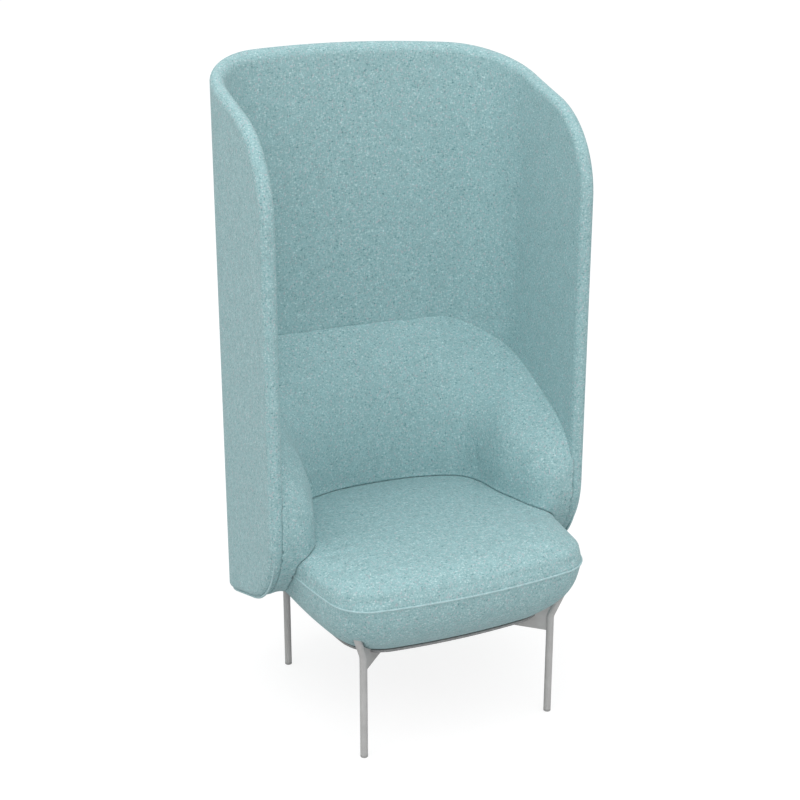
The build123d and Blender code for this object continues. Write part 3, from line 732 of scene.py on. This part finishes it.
seat = fused("seat_cushion", [*SEAT_COVERS, "seat_foam", "seat_base_board"], SEAT_VOXEL)
heights = positions(seat)[:, 2]
seam_gap = np.abs(heights - PIPING_HEIGHT * MM)
at_piping = np.clip(1 - (seam_gap - SEAM_HELD) / SEAM_FREE, 0, 1)
at_bottom = np.clip(1 - (heights - BOTTOM_HELD) / SEAM_FREE, 0, 1)
at_pad = nearness(seat, node_tree("pad_cover"), 0.004, 0.014)
at_steel = nearness(seat, node_tree(*STEEL_NEAR_SEAT), 0.003, 0.008)
seat_held = smoothed(np.maximum.reduce([at_piping, at_bottom, at_pad, at_steel]), seat, 2)
soften(seat, seat_held, 6)
inflated(seat, seat_held, SEAT_SWELL)
subdivided(seat)
settled(seat, node_tree(*SEAT_COVERS), nearness(seat, node_tree("pad_cover"), 0.005, 0.010))
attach(seat, "root")
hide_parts("seat_cover_upper", "seat_cover_lower", "seat_foam")

# The seat's cord wears the lighter piping cloth, whose lightness is painted highlight.
piping_line = seat_line(PIPING_INWARD)
piping = tube("seat_piping_cord", [(x, y, PIPING_HEIGHT) for x, y in piping_line],
              [PIPING_RADIUS] * len(piping_line), piping_fabric, True)
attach(piping, "root")
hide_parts("seat_piping")

# ------------------------------------------------------------------ pad
pad = fused("pad_lining", ["pad_cover", "pad_foam", "pad_carrier"], PAD_VOXEL)
wall_tree = BVHTree.FromObject(shell, bpy.context.evaluated_depsgraph_get())
seat_tree = node_tree(*SEAT_COVERS)
at_wall = nearness(pad, wall_tree, 0.006, 0.016)
at_seat = nearness(pad, seat_tree, 0.004, 0.014)
pad_held = smoothed(np.maximum(at_wall, at_seat), pad, 2)
soften(pad, pad_held, 8)
inflated(pad, pad_held, PAD_SWELL)
subdivided(pad)
pad_edges = np.maximum(nearness(pad, wall_tree, 0.006, 0.012), nearness(pad, seat_tree, 0.005, 0.010))
settled(pad, node_tree("pad_cover"), pad_edges)
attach(pad, "root")
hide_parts("pad_cover", "pad_foam")

# ------------------------------------------------------------------ stage, light and camera
FLOOR_HALF = 60.0
FLOOR_GLOW = 0.82                   # even white that the camera sees
FLOOR_SHADED = 0.25                 # the share that takes light and shadow
FLOOR_BOUNCE = 0.6                  # what the floor throws back on the chair
LIGHT_LEVEL, LIGHT_CHANGE = 0.72, 0.46      # light from all round, and how far its sides differ
LIGHT_FROM = (-0.4, -0.76, 0.5)
LAMP_AIM = (0, 0, 0.7)
LAMPS = {                           # place, side of the square, watts
    "overhead": ((0.0, -0.6, 3.8), 3.0, 20),
    "front_high": ((-0.8, -3.6, 3.6), 2.8, 18),
    "high_left": ((-2.8, -0.8, 4.2), 2.4, 28),
}
LENS, SENSOR = 65.25, 36            # millimetres
CAMERA_PLACE = Matrix(((0.9055, 0.1328, -0.4030, -1.2710), (-0.4243, 0.2834, -0.8600, -2.6530),
                       (0, 0.9497, 0.3130, 1.6501), (0, 0, 0, 1)))

floor_mesh = bpy.data.meshes.new("studio_floor")
floor_mesh.from_pydata([(-FLOOR_HALF, -FLOOR_HALF, 0), (FLOOR_HALF, -FLOOR_HALF, 0),
                        (FLOOR_HALF, FLOOR_HALF, 0), (-FLOOR_HALF, FLOOR_HALF, 0)], [], [(0, 1, 2, 3)])
floor = bpy.data.objects.new("studio_floor", floor_mesh)
scene.collection.objects.link(floor)


def floor_material():
    """White floor: mostly even for the camera with a faint shadow left, plain for bounced light."""
    material = bpy.data.materials.new("studio_floor")
    material.use_nodes = True
    tree = material.node_tree
    tree.nodes.clear()
    out = tree.nodes.new("ShaderNodeOutputMaterial")
    choose = tree.nodes.new("ShaderNodeMixShader")
    both = tree.nodes.new("ShaderNodeAddShader")
    even = tree.nodes.new("ShaderNodeEmission")
    lit = tree.nodes.new("ShaderNodeBsdfDiffuse")
    bounce = tree.nodes.new("ShaderNodeBsdfDiffuse")
    ray = tree.nodes.new("ShaderNodeLightPath")
    even.inputs["Color"].default_value = (1, 1, 1, 1)
    even.inputs["Strength"].default_value = FLOOR_GLOW
    lit.inputs["Color"].default_value = evenly(FLOOR_SHADED)
    bounce.inputs["Color"].default_value = evenly(FLOOR_BOUNCE)
    tree.links.new(ray.outputs["Is Camera Ray"], choose.inputs[0])
    tree.links.new(bounce.outputs[0], choose.inputs[1])
    tree.links.new(both.outputs[0], choose.inputs[2])
    tree.links.new(even.outputs[0], both.inputs[0])
    tree.links.new(lit.outputs[0], both.inputs[1])
    tree.links.new(choose.outputs[0], out.inputs["Surface"])
    return material


floor_mesh.materials.append(floor_material())


def world_light(level, change, towards):
    """Soft light from all round, stronger from one side; the camera and mirrors see plain white."""
    world = bpy.data.worlds.new("studio")
    scene.world = world
    world.use_nodes = True
    tree = world.node_tree
    tree.nodes.clear()
    out = tree.nodes.new("ShaderNodeOutputWorld")
    choose = tree.nodes.new("ShaderNodeMixShader")
    lit = tree.nodes.new("ShaderNodeBackground")
    seen = tree.nodes.new("ShaderNodeBackground")
    ray = tree.nodes.new("ShaderNodeLightPath")
    first = tree.nodes.new("ShaderNodeMath")
    second = tree.nodes.new("ShaderNodeMath")
    first.operation = second.operation = "MAXIMUM"
    lit.inputs["Color"].default_value = (1, 1, 1, 1)
    way = tree.nodes.new("ShaderNodeTexCoord")
    side = tree.nodes.new("ShaderNodeVectorMath")
    side.operation = "DOT_PRODUCT"
    side.inputs[1].default_value = Vector(towards).normalized()
    height = tree.nodes.new("ShaderNodeMapRange")
    height.inputs["From Min"].default_value = -1
    height.inputs["To Min"].default_value = level - change
    height.inputs["To Max"].default_value = level + change
    tree.links.new(way.outputs["Generated"], side.inputs[0])
    tree.links.new(side.outputs["Value"], height.inputs["Value"])
    tree.links.new(height.outputs[0], lit.inputs["Strength"])
    seen.inputs["Color"].default_value = (1, 1, 1, 1)
    seen.inputs["Strength"].default_value = 1.0
    tree.links.new(ray.outputs["Is Camera Ray"], first.inputs[0])
    tree.links.new(ray.outputs["Is Glossy Ray"], first.inputs[1])
    tree.links.new(first.outputs[0], second.inputs[0])
    tree.links.new(ray.outputs["Is Transmission Ray"], second.inputs[1])
    tree.links.new(second.outputs[0], choose.inputs[0])
    tree.links.new(lit.outputs[0], choose.inputs[1])
    tree.links.new(seen.outputs[0], choose.inputs[2])
    tree.links.new(choose.outputs[0], out.inputs["Surface"])


def softbox(name, place, aim, size, power):
    """Square lamp that looks at a point."""
    data = bpy.data.lights.new(name, "AREA")
    data.shape = "SQUARE"
    data.size = size
    data.energy = power
    lamp = bpy.data.objects.new(name, data)
    scene.collection.objects.link(lamp)
    lamp.location = place
    lamp.rotation_euler = (Vector(aim) - Vector(place)).to_track_quat("-Z", "Y").to_euler()


world_light(LIGHT_LEVEL, LIGHT_CHANGE, LIGHT_FROM)
for lamp_name, (lamp_place, lamp_size, lamp_power) in LAMPS.items():
    softbox(lamp_name, lamp_place, LAMP_AIM, lamp_size, lamp_power)

camera_data = bpy.data.cameras.new("camera")
camera_data.lens = LENS
camera_data.sensor_width = SENSOR
camera_data.clip_end = 200
camera = bpy.data.objects.new("camera", camera_data)
scene.collection.objects.link(camera)
camera.matrix_world = CAMERA_PLACE
scene.camera = camera
scene.view_settings.view_transform = "Standard"
